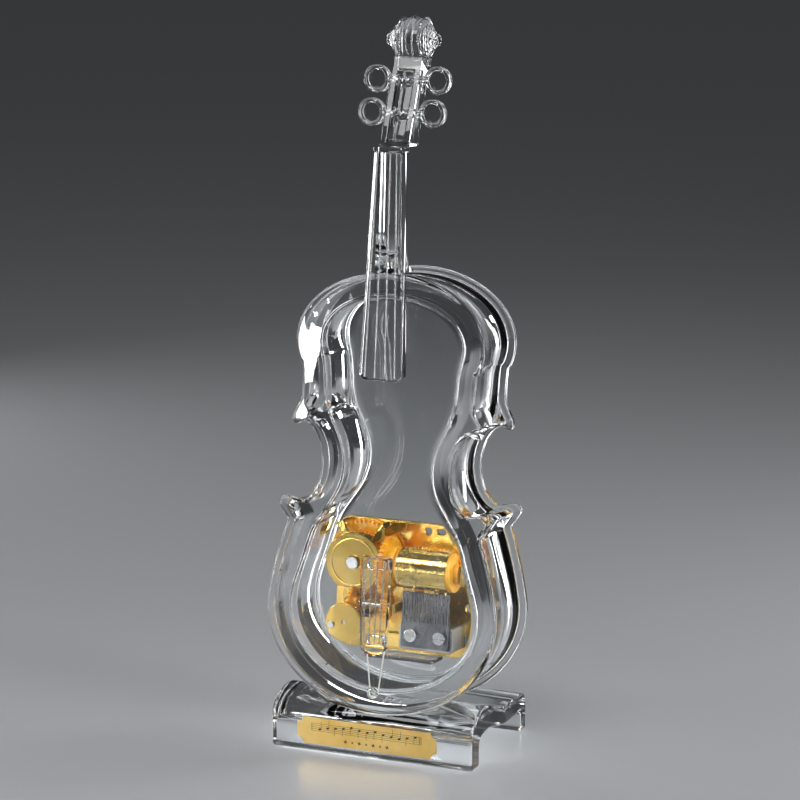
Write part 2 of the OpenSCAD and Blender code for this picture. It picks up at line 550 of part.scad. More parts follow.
stand();
label_plate();
front_shell();
back_shell();
neck();
fingerboard();
nut();
pegbox();
scroll();
peg_upper_left();
peg_upper_right();
peg_lower_left();
peg_lower_right();
board_string_1();
board_string_2();
board_string_3();
board_string_4();
tailpiece();
tail_string_1();
tail_string_2();
tail_string_3();
tail_string_4();
tail_loop();
end_button();
bedplate();
spring_housing();
mainspring();
left_bearing();
right_bearing();
comb();
comb_base();
comb_screw_left();
comb_screw_right();
governor_frame();
governor_cap();
governor_screw();
wheel_post_left();
wheel_post_right();
case_screw_left();
case_screw_right();
case_screw_top();
arbor();
winding_key();
main_wheel();
cylinder_sleeve();
tune_pins();
cylinder_gear();
cylinder_cap();
cylinder_axle();
governor_pinion();
governor_wheel();
governor_axle();
worm_shaft();
fly();
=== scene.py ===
# Clear acrylic violin music box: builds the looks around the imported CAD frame.
import json
import math

import bmesh
import bpy
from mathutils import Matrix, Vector
from mathutils.geometry import delaunay_2d_cdt


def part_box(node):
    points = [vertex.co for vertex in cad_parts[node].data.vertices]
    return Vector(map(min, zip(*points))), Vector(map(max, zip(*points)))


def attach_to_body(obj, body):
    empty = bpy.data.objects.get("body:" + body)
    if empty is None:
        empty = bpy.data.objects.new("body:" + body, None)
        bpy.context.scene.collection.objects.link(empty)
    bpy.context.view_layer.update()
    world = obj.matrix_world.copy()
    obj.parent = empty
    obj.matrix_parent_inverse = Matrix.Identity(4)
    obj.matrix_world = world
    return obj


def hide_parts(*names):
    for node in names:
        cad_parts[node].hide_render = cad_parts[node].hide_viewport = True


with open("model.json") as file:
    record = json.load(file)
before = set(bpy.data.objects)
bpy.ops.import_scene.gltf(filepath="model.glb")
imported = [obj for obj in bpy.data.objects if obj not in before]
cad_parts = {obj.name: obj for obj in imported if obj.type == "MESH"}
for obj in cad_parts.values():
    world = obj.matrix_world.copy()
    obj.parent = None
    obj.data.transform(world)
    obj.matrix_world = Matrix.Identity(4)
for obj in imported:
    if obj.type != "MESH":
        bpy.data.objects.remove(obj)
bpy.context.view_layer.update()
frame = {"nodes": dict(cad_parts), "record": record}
MM = 0.001
WELD_DIST = 2e-6        # joins the split edges of a CAD mesh
TOUCH = 0.03            # mm that close pieces stay apart, or that a trim sinks in

# ---------------------------------------------------------------- the violin's own frame
# Its joints give the lean: the key turns about the line out of the front plate.
JOINTS = {j["name"]: j for j in frame["record"]["behaviour"]["joints"]}
OUT = Vector(JOINTS["key_wind"]["axis"]).normalized()
ACROSS = Vector((1, 0, 0))
ALONG = OUT.cross(ACROSS).normalized()
BODY_D, AXLE_Z, DRUM_X = 30.5, 46.6, -14.0
ORIGIN = (Vector(JOINTS["key_wind"]["pos_m"]) - ACROSS * DRUM_X * MM
          + OUT * BODY_D * MM - ALONG * AXLE_Z * MM)

# Sizes in mm, as in the CAD source. The half widths are of the bouts and the waist.
BODY_L, LOWER, WAIST, UPPER = 142.0, 39.5, 21.9, 32.0
LOW_Z, WAIST_Z, UP_Z, WAIST_X = 33, 79.7, 119, LOWER * 0.745    # centres of the outline's arcs
PLATE_T, OVERHANG, RIB_T, SPLIT = 3.0, 2.2, 4.2, 13.725
NUT_Z, PEGBOX_L, SCROLL_D, PEG_D = 181.5, 27.0, 14.0, 8.8
HEAD_LEAN, PEG_REACH = 0.34, 6.4
BOARD_Y, BOARD_T, BUTTON_Z = -6.0, 4.0, 8.0
CAVITY_W = OVERHANG + RIB_T
BACK_IN = BODY_D - PLATE_T
# The movement: its bedplate from BED_Z0 up, the screws that hold it and the winding arbor's hole.
BED_Z0, BED_H, POST_H = 16.4, 43.0, 1.5
SCREWS = [(-20.5, BED_Z0 + 5.9), (20.5, BED_Z0 + 5.9), (17.0, BED_Z0 + BED_H - 3.6)]
SCREW_HOLE, ARBOR_HOLE, HOUSING_FACE = 1.35, 4.2, 11.8
STAND_LOW, STAND_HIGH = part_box("stand")


def place(x, y, z):
    """Violin millimetres (across, depth, up) to row metres."""
    return ORIGIN + ACROSS * (x * MM) - OUT * (y * MM) + ALONG * (z * MM)


def flat_place(point, depth):
    """A point of a flat outline at a violin depth."""
    return place(point[0], depth, point[1])


# ---------------------------------------------------------------- mesh helpers
def new_object(name, verts, faces, smooth=True):
    """Linked mesh object with doubles merged and normals outwards."""
    mesh = bpy.data.meshes.new(name)
    mesh.from_pydata([tuple(v) for v in verts], [], faces)
    mesh.validate()
    obj = bpy.data.objects.new(name, mesh)
    bpy.context.scene.collection.objects.link(obj)
    bm = bmesh.new()
    bm.from_mesh(mesh)
    bmesh.ops.remove_doubles(bm, verts=bm.verts, dist=1e-7)
    bmesh.ops.recalc_face_normals(bm, faces=bm.faces)
    bm.to_mesh(mesh)
    bm.free()
    if smooth:
        mesh.polygons.foreach_set("use_smooth", [True] * len(mesh.polygons))
    return obj


def sharpen(obj, angle=32, flat=()):
    """Smooth shading that breaks at sharp edges; faces square to a flat axis shade flat."""
    bm = bmesh.new()
    bm.from_mesh(obj.data)
    for e in bm.edges:
        if len(e.link_faces) == 2:
            e.smooth = e.calc_face_angle(0) < math.radians(angle)
    for face in bm.faces:
        if any(abs(face.normal.dot(axis)) > 0.99995 for axis in flat):
            face.smooth = False
    bm.to_mesh(obj.data)
    bm.free()


def bevel(obj, width, segments=3, angle=35):
    """Rounds edges by width mm, after joining the split edges that a CAD mesh has."""
    weld = obj.modifiers.new("weld", "WELD")
    weld.merge_threshold = WELD_DIST
    mod = obj.modifiers.new("edge", "BEVEL")
    mod.width = width * MM
    mod.segments = segments
    mod.limit_method = "ANGLE"
    mod.angle_limit = math.radians(angle)
    mod.harden_normals = False
    mod.use_clamp_overlap = False
    weighted = obj.modifiers.new("normals", "WEIGHTED_NORMAL")
    weighted.keep_sharp = True


def curve_point(four, t):
    """Catmull-Rom point at t between the second and the third of four points."""
    return tuple(0.5 * (2 * b + (c - a) * t + (2 * a - 5 * b + 4 * c - d) * t * t
                        + (3 * b - a - 3 * c + d) * t ** 3) for a, b, c, d in zip(*four))


def spline(points, step, closed=True):
    """Catmull-Rom through the points, resampled about every step."""
    n = len(points)
    fine = []
    spans = range(n if closed else n - 1)
    for i in spans:
        p0 = points[(i - 1) % n] if closed or i > 0 else points[0]
        p1, p2 = points[i], points[(i + 1) % n]
        p3 = points[(i + 2) % n] if closed or i + 2 < n else points[-1]
        fine += [curve_point((p0, p1, p2, p3), k / 8) for k in range(8)]
    if not closed:
        fine.append(points[-1])
    return resample(fine, step, closed)


def resample(points, step, closed=True):
    """Evenly spaced points about every step along a line."""
    loop = points + [points[0]] if closed else points
    lengths = [0.0]
    for a, b in zip(loop, loop[1:]):
        lengths.append(lengths[-1] + math.dist(a, b))
    count = max(3, round(lengths[-1] / step))
    out, j = [], 0
    for i in range(count if closed else count + 1):
        want = lengths[-1] * i / count
        while j < len(lengths) - 2 and lengths[j + 1] < want:
            j += 1
        span = lengths[j + 1] - lengths[j] or 1.0
        t = (want - lengths[j]) / span
        out.append(tuple(a + (b - a) * t for a, b in zip(loop[j], loop[j + 1])))
    return out


def relax(points, rounds):
    """Evens out the corners of a closed outline."""
    for _ in range(rounds):
        n = len(points)
        points = [tuple((a + 2 * b + c) / 4
                        for a, b, c in zip(points[i - 1], points[i], points[(i + 1) % n]))
                  for i in range(n)]
    return points


def shrink(points, k):
    """Moves a closed outline inwards by k along its smoothed normals."""
    n = len(points)
    out = []
    for i in range(n):
        (ax, az), (bx, bz) = points[(i - 2) % n], points[(i + 2) % n]
        dx, dz = bx - ax, bz - az
        size = math.hypot(dx, dz) or 1.0
        out.append((points[i][0] - k * dz / size, points[i][1] + k * dx / size))
    return out


def inside(point, ring):
    """Whether a flat point lies within a closed outline."""
    x, z = point
    hit = False
    for (ax, az), (bx, bz) in zip(ring, ring[1:] + ring[:1]):
        if (az > z) != (bz > z) and x < ax + (bx - ax) * (z - az) / (bz - az):
            hit = not hit
    return hit


def fill(outer, holes=()):
    """Triangles over a flat outline with holes; returns points and faces."""
    points, edges = [], []
    for ring in [outer, *holes]:
        start = len(points)
        points += [Vector(p) for p in ring]
        edges += [(start + i, start + (i + 1) % len(ring)) for i in range(len(ring))]
    verts, _, faces, _, _, _ = delaunay_2d_cdt(points, edges, [], 1, 1e-6)
    for hole in holes:
        faces = [f for f in faces
                 if not inside(tuple(sum((verts[i] for i in f), Vector((0, 0))) / len(f)), hole)]
    return [tuple(v) for v in verts], faces


def side_faces(count, n):
    """Quads that join each of count rings of n points to the next."""
    return [(r * n + i, r * n + (i + 1) % n, (r + 1) * n + (i + 1) % n, (r + 1) * n + i)
            for r in range(count - 1) for i in range(n)]


def stack(rings):
    """Side faces between rings of equal length: [(points, depth), ...] in violin mm."""
    n = len(rings[0][0])
    verts = [place(p[0], depth, p[1]) for points, depth in rings for p in points]
    return verts, side_faces(len(rings), n)


def join_parts(parts):
    """One list of points and faces out of several."""
    verts, faces = [], []
    for v, f in parts:
        start = len(verts)
        verts += v
        faces += [tuple(i + start for i in face) for face in f]
    return verts, faces


def cap(points, depth, holes=()):
    """Flat face over an outline at a violin depth."""
    flat, faces = fill(points, holes)
    return [place(p[0], depth, p[1]) for p in flat], faces


def flat_prism(points, low, high, to_world):
    """Closed prism of an outline between two offsets, for cutting."""
    flat, faces = fill(points)
    n = len(points)
    verts = [to_world(p, low) for p in flat] + [to_world(p, high) for p in flat]
    m = len(flat)
    sides = [(i, (i + 1) % n, m + (i + 1) % n, m + i) for i in range(n)]
    return verts, list(faces) + [tuple(m + i for i in f) for f in faces] + sides


def carve(obj, cutter):
    """Cuts one closed mesh out of another and drops the cutter."""
    mod = obj.modifiers.new("carve", "BOOLEAN")
    mod.object = cutter
    mod.operation = "DIFFERENCE"
    mod.solver = "EXACT"
    bpy.context.view_layer.update()
    graph = bpy.context.evaluated_depsgraph_get()
    shape = bpy.data.meshes.new_from_object(obj.evaluated_get(graph))
    obj.modifiers.remove(mod)
    obj.data = shape
    bpy.data.objects.remove(cutter)


def lathe(name, profile, centre, axis, side, steps=64):
    """Turns a profile of (radius, height) mm about axis; ends close at radius 0."""
    axis, side = axis.normalized(), side.normalized()
    third = axis.cross(side)
    verts = [centre + axis * (h * MM)
             + (side * math.cos(a) + third * math.sin(a)) * (max(r, 1e-4) * MM)
             for r, h in profile for a in (math.tau * i / steps for i in range(steps))]
    faces = side_faces(len(profile), steps)
    faces.append(tuple(range(steps)))
    faces.append(tuple((len(profile) - 1) * steps + i for i in range(steps)))
    return new_object(name, verts, faces)


def lathe_ring(name, profile, centre, axis, side, steps=48):
    """Turns a closed (radius, height) profile that never touches the axis."""
    axis, side = axis.normalized(), side.normalized()
    third = axis.cross(side)
    n = len(profile)
    verts = [centre + axis * (h * MM)
             + (side * math.cos(a) + third * math.sin(a)) * (r * MM)
             for a in (math.tau * i / steps for i in range(steps)) for r, h in profile]
    faces = [(i * n + k, i * n + (k + 1) % n,
              (i + 1) % steps * n + (k + 1) % n, (i + 1) % steps * n + k)
             for i in range(steps) for k in range(n)]
    return new_object(name, verts, faces)


def rounded(points, r, steps=4):
    """Rounds the inner corners of an open (radius, height) profile."""
    out = [points[0]]
    for a, b, c in zip(points, points[1:], points[2:]):
        va, vc = Vector(a) - Vector(b), Vector(c) - Vector(b)
        k = min(r, va.length * 0.45, vc.length * 0.45)
        pa, pc = Vector(b) + va.normalized() * k, Vector(b) + vc.normalized() * k
        for i in range(steps + 1):
            t = i / steps
            out.append(tuple(pa * (1 - t) ** 2 + Vector(b) * 2 * t * (1 - t) + pc * t * t))
    out.append(points[-1])
    return out


# ---------------------------------------------------------------- materials
def nodes_of(name):
    """New material with its node tree and its shader."""
    mat = bpy.data.materials.new(name)
    mat.use_nodes = True
    tree = mat.node_tree
    return mat, tree, tree.nodes["Principled BSDF"]


def add(tree, kind, **values):
    """New node, with values for its sockets or its own properties."""
    node = tree.nodes.new(kind)
    for key, value in values.items():
        if key in node.inputs:
            node.inputs[key].default_value = value
        else:
            setattr(node, key, value)
    return node


def noise(tree, scale, detail=3.0, rough=0.5):
    """Noise texture that stays with the object."""
    coord = add(tree, "ShaderNodeTexCoord")
    tex = add(tree, "ShaderNodeTexNoise", Scale=scale, Detail=detail, Roughness=rough)
    tree.links.new(coord.outputs["Object"], tex.inputs["Vector"])
    return tex


def ramp(tree, source, low, high, a=0.3, b=0.7):
    """Colour that runs from low to high as the source goes from a to b."""
    node = add(tree, "ShaderNodeValToRGB")
    for element, position, colour in zip(node.color_ramp.elements, (a, b), (low, high)):
        element.position = position
        element.color = (*colour, 1)
    tree.links.new(source, node.inputs["Fac"])
    return node


def span(tree, source, low, high):
    """Maps a 0 to 1 source to low to high."""
    node = add(tree, "ShaderNodeMapRange")
    node.inputs["To Min"].default_value = low
    node.inputs["To Max"].default_value = high
    tree.links.new(source, node.inputs["Value"])
    return node.outputs["Result"]


def bump(tree, shader, source, strength, distance):
    """Fine relief from the source; distance in metres."""
    node = add(tree, "ShaderNodeBump", Strength=strength, Distance=distance)
    tree.links.new(source, node.inputs["Height"])
    tree.links.new(node.outputs["Normal"], shader.inputs["Normal"])


def clear_material(name, ripple=0.25, tint=(0.97, 0.985, 0.99)):
    """Cast clear acrylic: slight mould ripple, faint haze, and lamps shine through it."""
    mat, tree, shader = nodes_of(name)
    shader.inputs["Base Color"].default_value = (*tint, 1)
    shader.inputs["Transmission Weight"].default_value = 1.0
    shader.inputs["IOR"].default_value = 1.49
    smear = noise(tree, 55.0, 2.0)
    tree.links.new(span(tree, smear.outputs["Fac"], 0.0, 0.012), shader.inputs["Roughness"])
    wave = noise(tree, 90.0, 1.5, 0.4)
    bump(tree, shader, wave.outputs["Fac"], ripple, 0.0003)
    path = add(tree, "ShaderNodeLightPath")
    open_ = add(tree, "ShaderNodeBsdfTransparent")
    open_.inputs["Color"].default_value = (0.93, 0.94, 0.945, 1)
    mix = add(tree, "ShaderNodeMixShader")
    tree.links.new(path.outputs["Is Shadow Ray"], mix.inputs["Fac"])
    tree.links.new(shader.outputs["BSDF"], mix.inputs[1])
    tree.links.new(open_.outputs["BSDF"], mix.inputs[2])
    tree.links.new(mix.outputs["Shader"], tree.nodes["Material Output"].inputs["Surface"])
    return mat


def metal_material(name, low, high, rough=(0.18, 0.34), brush=None, grain=900.0, depth=0.00003):
    """Metal with patchy tone; brush stretches its grain, rough is its roughness range."""
    mat, tree, shader = nodes_of(name)
    shader.inputs["Metallic"].default_value = 1.0
    patch = noise(tree, 140.0, 4.0)
    tone = ramp(tree, patch.outputs["Fac"], low, high)
    tree.links.new(tone.outputs["Color"], shader.inputs["Base Color"])
    fine = noise(tree, grain, 3.0)
    if brush:
        mapping = add(tree, "ShaderNodeMapping")
        mapping.inputs["Scale"].default_value = brush
        tree.links.new(fine.inputs["Vector"].links[0].from_socket, mapping.inputs["Vector"])
        tree.links.new(mapping.outputs["Vector"], fine.inputs["Vector"])
    tree.links.new(span(tree, fine.outputs["Fac"], *rough), shader.inputs["Roughness"])
    bump(tree, shader, fine.outputs["Fac"], 0.35, depth)
    return mat


def amber_material(name):
    """Amber moulded plastic of the gears, a little translucent."""
    mat, tree, shader = nodes_of(name)
    patch = noise(tree, 220.0, 3.0)
    tone = ramp(tree, patch.outputs["Fac"], (0.60, 0.25, 0.006), (0.80, 0.40, 0.018))
    tree.links.new(tone.outputs["Color"], shader.inputs["Base Color"])
    shader.inputs["Subsurface Weight"].default_value = 0.12
    shader.inputs["Subsurface Radius"].default_value = (0.002, 0.0008, 0.0002)
    shader.inputs["Subsurface Scale"].default_value = 1.0
    fine = noise(tree, 700.0, 2.0)
    tree.links.new(span(tree, fine.outputs["Fac"], 0.22, 0.4), shader.inputs["Roughness"])
    bump(tree, shader, fine.outputs["Fac"], 0.2, 0.00002)
    return mat


def plastic_material(name, low, high, rough=(0.4, 0.6)):
    """Plain plastic, cord or ink with patchy tone and a fine grain."""
    mat, tree, shader = nodes_of(name)
    patch = noise(tree, 300.0, 4.0)
    tone = ramp(tree, patch.outputs["Fac"], low, high)
    tree.links.new(tone.outputs["Color"], shader.inputs["Base Color"])
    fine = noise(tree, 1200.0, 2.0)
    tree.links.new(span(tree, fine.outputs["Fac"], *rough), shader.inputs["Roughness"])
    bump(tree, shader, fine.outputs["Fac"], 0.3, 0.00003)
    return mat


CLEAR = clear_material("clear_acrylic")
CLEAR_FINE = clear_material("clear_acrylic_fine", ripple=0.12)
GOLD = metal_material("gold_plating", (0.88, 0.56, 0.12), (0.97, 0.70, 0.22), (0.06, 0.16))
BED_GOLD = metal_material("bed_gold", (0.84, 0.52, 0.12), (0.95, 0.68, 0.22), (0.16, 0.34),
                          grain=260.0, depth=0.00012)
PIN_BRASS = metal_material("pin_brass", (0.90, 0.68, 0.26), (0.97, 0.82, 0.42), (0.12, 0.2))
CYLINDER_BRASS = metal_material("cylinder_brass", (0.88, 0.60, 0.16), (0.97, 0.74, 0.28),
                                (0.1, 0.2), brush=(1, 14, 14))
STEEL = metal_material("bright_steel", (0.55, 0.56, 0.58), (0.75, 0.76, 0.78), (0.14, 0.3))
COMB_STEEL = metal_material("comb_steel", (0.10, 0.10, 0.115), (0.22, 0.225, 0.24),
                            (0.2, 0.36), brush=(16, 1, 1))
SPRING_STEEL = metal_material("spring_steel", (0.12, 0.14, 0.2), (0.2, 0.22, 0.3), (0.2, 0.35))
ZINC = metal_material("grey_zinc", (0.3, 0.3, 0.305), (0.42, 0.42, 0.425), (0.3, 0.5))
STRING = metal_material("string_wire", (0.34, 0.34, 0.34), (0.5, 0.5, 0.49), (0.2, 0.32))
AMBER = amber_material("amber_plastic")
DARK = plastic_material("dark_plastic", (0.012, 0.012, 0.014), (0.03, 0.03, 0.033))
LABEL_GOLD = metal_material("label_gold", (0.86, 0.56, 0.16), (0.96, 0.70, 0.26), (0.28, 0.42),
                            brush=(0.5, 12, 12), grain=420.0)
INK = plastic_material("label_ink", (0.04, 0.02, 0.01), (0.08, 0.045, 0.02), (0.35, 0.5))
CORD = plastic_material("tail_cord", (0.74, 0.72, 0.66), (0.86, 0.84, 0.8), (0.2, 0.35))


# ---------------------------------------------------------------- clear body
def arc(cx, cz, rx, rz, a0, a1, n):
    """Points along an ellipse from a0 to a1 degrees."""
    angles = [math.radians(a0 + (a1 - a0) * i / n) for i in range(n + 1)]
    return [(cx + rx * math.cos(a), cz + rz * math.sin(a)) for a in angles]


# Corner tips: (share of the half width, height, inset across, inset up) for each point.
LOW_TIP = [(0.876, 62.3, 1.1, 0), (0.916, 64.9, 1.15, -0.1), (0.911, 66.7, 1.15, -0.6),
           (0.871, 68, 1.15, -0.8), (0.797, 67.4, 1.15, -0.6)]
UP_TIP = [(0.956, 91.6, 1.15, 0.9), (1.006, 91.8, 1.15, 0.7), (1.016, 93.6, 1.15, 0.4),
          (0.988, 96, 1.1, 0), (0.944, 98.6, 1, 0), (0.919, 101.5, 1, 0)]


def tip(points, half_w, k):
    """Corner tip of the outline from its table, drawn k inside."""
    return [(half_w * p[0] - k * p[2], p[1] + k * p[3]) for p in points]


def mirrored(half):
    """Closes a right half, from bottom to top, with its mirror image."""
    return half + [(-x, z) for x, z in half[-2:0:-1]]


def outline(k=0.0):
    """The plate edge, drawn k inside; every k gives the same number of points."""
    half = (arc(0, LOW_Z, LOWER - k, LOW_Z - k, -90, 10, 26)
            + [(LOWER * (0.968 - 0.128 * (i / 5) ** 1.15) - k, 42 + 18.3 * i / 5 - 0.04 * k * i)
               for i in range(6)]
            + tip(LOW_TIP, LOWER, k)
            + arc(WAIST_X - k * 0.2, WAIST_Z, WAIST_X - WAIST + k * 0.8, 12.9 + k * 0.6, 262, 98, 18)
            + tip(UP_TIP, UPPER, k)
            + arc(0, UP_Z, UPPER - k, BODY_L - UP_Z - k, -22, 90, 22))
    return mirrored(half)


def cavity(w):
    """Hollow of the body, drawn w inside the plate edge; it leaves the corner tips solid."""
    half = (arc(0, LOW_Z, LOWER - w, LOW_Z - w, -90, 20, 26)
            + [(LOWER - w - 4.4, 49), (LOWER - w - 5.6, 53), (LOWER - w - 7.2, 58.6)]
            + arc(WAIST_X, WAIST_Z, WAIST_X - WAIST + w, 17, 226, 134, 14)
            + [(UPPER - w - 2.8, 100)]
            + arc(0, UP_Z, UPPER - w, BODY_L - UP_Z - w, -24, 90, 20))
    return mirrored(half)


def smooth_outline(k):
    """Spline through the outline, four points to each span, so rings match up."""
    points = outline(k)
    n = len(points)
    return [curve_point([points[(i + d) % n] for d in (-1, 0, 1, 2)], s / 4)
            for i in range(n) for s in range(4)]


def quarter(n):
    """The angles of a quarter turn in n steps."""
    return [math.radians(90 * i / n) for i in range(n + 1)]


def shell(name, plate_out, plate_in, seam, replaced):
    """Half of the body: a plate with a rounded edge, and the ribs up to the seam."""
    toward = 1 if plate_in > plate_out else -1
    edge, inner_edge, fillet, roof, step = 1.3, 0.7, 0.9, 2.2, 0.25
    rings = [(smooth_outline(edge * (1 - math.sin(a))), plate_out + toward * edge * (1 - math.cos(a)))
             for a in quarter(5)]
    rings += [(smooth_outline(inner_edge * (1 - math.cos(a))),
               plate_in - toward * inner_edge * (1 - math.sin(a))) for a in quarter(4)]
    rings += [(smooth_outline(OVERHANG - fillet * (1 - math.sin(a))),
               plate_in + toward * fillet * (1 - math.cos(a))) for a in quarter(4)]
    rings += [(smooth_outline(OVERHANG), seam - toward * step), (smooth_outline(OVERHANG + 0.2), seam)]
    inner = relax(spline(cavity(CAVITY_W), 0.9), 30)
    inner_rings = [(inner, seam)]
    inner_rings += [(shrink(inner, roof * (1 - math.cos(a))),
                     plate_in + toward * roof * (1 - math.sin(a))) for a in quarter(6)]
    parts = [cap(rings[0][0], plate_out), stack(rings), cap(rings[-1][0], seam, [inner]),
             stack(inner_rings), cap(inner_rings[-1][0], plate_in)]
    obj = new_object(name, *join_parts(parts))
    sharpen(obj, 40, [OUT])
    return attach(obj, CLEAR, replaced=replaced)


def attach(obj, material, body="case", replaced=()):
    """Material and body of a piece, and the CAD nodes that it stands in for."""
    obj.data.materials.clear()
    obj.data.materials.append(material)
    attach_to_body(obj, body)
    if replaced:
        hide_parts(*replaced)
    return obj


shell("front_shell_clear", 0.0, PLATE_T, SPLIT - TOUCH, ["front_shell"])
back = shell("back_shell_clear", BODY_D, BACK_IN, SPLIT + TOUCH, ["back_shell"])


def circle(x, z, r, n=48):
    """Closed round outline."""
    return [(x + r * math.cos(math.tau * i / n), z + r * math.sin(math.tau * i / n)) for i in range(n)]


def build_back_details():
    """Holes for the screws and the winding arbor, the screw bosses and the inner ledge."""
    holes = [circle(x, z, SCREW_HOLE) for x, z in SCREWS] + [circle(DRUM_X, AXLE_Z, ARBOR_HOLE)]
    cutters = [flat_prism(hole, BACK_IN - 1, BODY_D + 1, flat_place) for hole in holes]
    carve(back, new_object("back_cutter", *join_parts(cutters)))
    sharpen(back, 40, [OUT])
    inner, outer, sunk = 1.4, 3.0, 0.02
    section = [(inner, -POST_H), (outer, -POST_H), (outer, -sunk), (inner, -sunk)]
    for i, (x, z) in enumerate(SCREWS):
        boss = lathe_ring(f"screw_boss_{i + 1}", rounded(section, 0.3, 3),
                          place(x, BACK_IN, z), -OUT, ACROSS)
        attach(boss, CLEAR_FINE)
    half, z0, z1, reach = 12, 14.6, 16, 9
    bar_2d = rounded([(0, z0), (half, z0), (half, z1), (-half, z1), (-half, z0), (0, z0)], 0.5)[:-1]
    ledge = new_object("back_ledge",
                       *flat_prism(bar_2d, BACK_IN - reach, BACK_IN - sunk, flat_place))
    bevel(ledge, 0.4, 3)
    attach(ledge, CLEAR_FINE)


build_back_details()

# ---------------------------------------------------------------- stand
def stand_profile():
    """Side outline (depth, height) of the bent stand in mm, front face at 0."""
    low, high = STAND_LOW / MM, STAND_HIGH / MM
    deep = high[1] - low[1]
    ridge_h, deck_h, ridge_y, fall_y, ridge_in = high[2], 12.8, 12.0, 31.0, 9.8
    wall, sheet = 7.0, 5.0
    deck_in = deck_h - sheet - 0.8
    brow, foot, heel, corner, bend = 7.2, 1.4, 1.3, 3, 1.5
    points = arc(foot, foot, foot, foot, 270, 180, 5)
    points += arc(ridge_y, ridge_h - brow, ridge_y, brow, 180, 90, 24)
    drop = ridge_h - deck_h
    points += [(ridge_y + (fall_y - ridge_y) * i / 20,
                deck_h + drop * (0.5 + 0.5 * math.cos(math.pi * i / 20))) for i in range(1, 21)]
    points += arc(deep - corner, deck_h - corner, corner, corner, 90, 0, 10)
    points += arc(deep - heel, heel, heel, heel, 0, -90, 5)
    points += arc(deep - sheet + heel, heel, heel, heel, -90, -180, 5)
    points += arc(deep - sheet - bend, deck_in - bend, bend, bend, 0, 90, 8)
    points += [(fall_y + (ridge_y + bend - fall_y) * i / 20,
                deck_in + (ridge_in - deck_in) * (0.5 - 0.5 * math.cos(math.pi * i / 20)))
               for i in range(21)]
    points += arc(wall + corner, ridge_in - 3.2, corner, 2.8, 100, 180, 10)
    points += arc(wall - foot, foot, foot, foot, 0, -90, 5)
    return resample(points, 0.5)


def build_stand():
    """Bent sheet with rounded ends and the slot that the violin's lower edge sits in."""
    half, edge, slot = STAND_HIGH[0] / MM, 1.2, 0.06
    profile = stand_profile()

    def world_point(p, x):
        return Vector((x * MM, STAND_LOW[1] + p[0] * MM, p[1] * MM))

    rings = []
    for side in (-1, 1):
        turn = [(shrink(profile, edge * (math.sin(a) - 1)), side * (half - edge * (1 - math.cos(a))))
                for a in quarter(5)]
        rings += turn if side < 0 else turn[::-1]
    n = len(profile)
    verts = [world_point(p, x) for points, x in rings for p in points]
    faces = side_faces(len(rings), n)
    parts = [(verts, faces)]
    for points, x in (rings[0], rings[-1]):
        flat, tris = fill(points)
        parts.append(([world_point(p, x) for p in flat], tris))
    obj = new_object("stand_clear", *join_parts(parts))
    cutter = new_object("stand_cutter", *flat_prism(
        resample(smooth_outline(-slot), 0.8), -slot, BODY_D + 12, flat_place))
    carve(obj, cutter)
    sharpen(obj, 38, [ACROSS])
    return attach(obj, CLEAR, replaced=["stand"])


build_stand()


# ---------------------------------------------------------------- neck, scroll and pegs
def section_loft(name, sections):
    """Skins a list of closed world-space sections and caps both ends."""
    n = len(sections[0])
    verts = [p for ring in sections for p in ring]
    faces = side_faces(len(sections), n)
    faces.append(tuple(range(n)))
    faces.append(tuple((len(sections) - 1) * n + i for i in range(n)))
    return new_object(name, verts, faces)


def build_neck():
    """D-shaped neck whose back sweeps down into the heel on the body."""
    half, front, sections = 4.0, BOARD_Y + BOARD_T + TOUCH, []
    root, top = BODY_L + 0.05, NUT_Z - 1.63
    depth, taper, heel_depth, heel_h = 7, 1.8, 9.4, 12
    for k in range(41):
        z = root + (top - BODY_L - 0.05) * (k / 40) ** 1.6
        rise = (z - BODY_L) / heel_h
        back = depth - taper * (z - BODY_L) / (top - BODY_L)
        if rise < 1:
            back += heel_depth * (1 - math.sqrt(max(0.0, 1 - (1 - rise) ** 2)))
        ring = [(-half, front), (half, front)]
        ring += [(half * math.cos(a) ** 0.8 if a < math.pi / 2 else -half * abs(math.cos(a)) ** 0.8,
                  front + 1.2 + (back - front - 1.2) * math.sin(a))
                 for a in (math.pi * i / 24 for i in range(25))]
        sections.append([place(x, y, z) for x, y in ring])
    obj = section_loft("neck_clear", sections)
    sharpen(obj, 50)
    return attach(obj, CLEAR_FINE, replaced=["neck"])


def build_heel_block():
    """Block between the fingerboard's root and the front plate."""
    x, z0, z1 = 4.0, BODY_L - 8, BODY_L - 0.05
    start = (-x, z0 + 4)
    outline_2d = rounded([start, (-x, z0), (x, z0), (x, z1), (-x, z1), start], 1.0)[:-1]
    verts, faces = stack([(outline_2d, BOARD_Y + BOARD_T + TOUCH), (outline_2d, -TOUCH)])
    n = len(outline_2d)
    faces += [tuple(range(n)), tuple(range(n, 2 * n))]
    obj = new_object("heel_block", verts, faces)
    sharpen(obj, 40)
    return attach(obj, CLEAR_FINE)


def head_y(z):
    """Depth of the pegbox's front face at height z."""
    return -1.2 + HEAD_LEAN * (z - NUT_Z)


EYE_Y, EYE_Z = head_y(NUT_Z + PEGBOX_L) + 4.4, NUT_Z + PEGBOX_L + SCROLL_D * 0.42
SCROLL_R, FIRST_TURN, NEXT_TURN, TURNS = 8.5, 0.72, 0.6, 3.3
RIM_HALF, RISE = 3.3, 1.5
SEAM = math.radians(-60)


def turn_number(r):
    """How many turns of the spiral lie outside radius r."""
    edge = SCROLL_R * FIRST_TURN
    if r > edge:
        return math.log(SCROLL_R / r) / -math.log(FIRST_TURN)
    return min(1 + math.log(edge / r) / -math.log(NEXT_TURN), TURNS)


